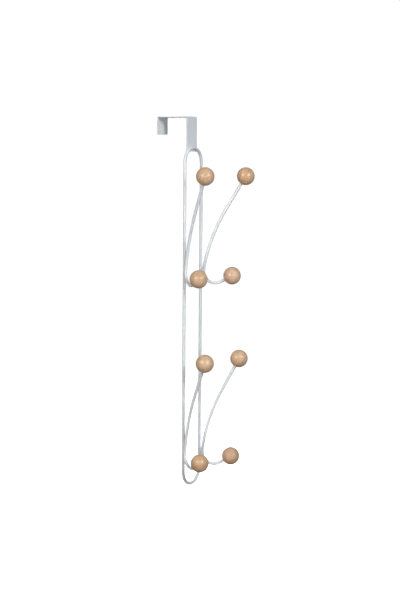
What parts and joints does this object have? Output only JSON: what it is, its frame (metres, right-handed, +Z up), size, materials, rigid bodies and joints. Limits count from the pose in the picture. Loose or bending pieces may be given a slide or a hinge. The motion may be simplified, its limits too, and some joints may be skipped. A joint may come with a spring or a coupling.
{
  "type": "over-the-door coat rack",
  "caption": "Over-the-door coat rack: a strap bracket, a long closed wire loop and splayed double hooks of bent wire tipped with round wooden balls.",
  "frame": {"origin": "middle of the bracket's underside, where it rests on the door's top edge", "axes": "+Z up, +X to the right for a person facing the hooks, +Y through the door to its far side, so the hooks point to -Y"},
  "size_m": [0.1272, 0.1213, 0.5203],
  "materials": {
    "white_powder_coat": "satin powder coat",
    "beech_wood": "turned, clear satin lacquer"
  },
  "bodies": {
    "root": {"door_bracket": "white_powder_coat", "wire_loop": "white_powder_coat", "upper_left_hook": "white_powder_coat", "upper_right_hook": "white_powder_coat", "lower_left_hook": "white_powder_coat", "lower_right_hook": "white_powder_coat", "upper_left_hook_weld": "white_powder_coat", "upper_right_hook_weld": "white_powder_coat", "lower_left_hook_weld": "white_powder_coat", "lower_right_hook_weld": "white_powder_coat", "bracket_weld_left": "white_powder_coat", "bracket_weld_right": "white_powder_coat", "upper_left_top_ball": "beech_wood", "upper_left_bottom_ball": "beech_wood", "upper_right_top_ball": "beech_wood", "upper_right_bottom_ball": "beech_wood", "lower_left_top_ball": "beech_wood", "lower_left_bottom_ball": "beech_wood", "lower_right_top_ball": "beech_wood", "lower_right_bottom_ball": "beech_wood"}
  },
  "joints": []
}
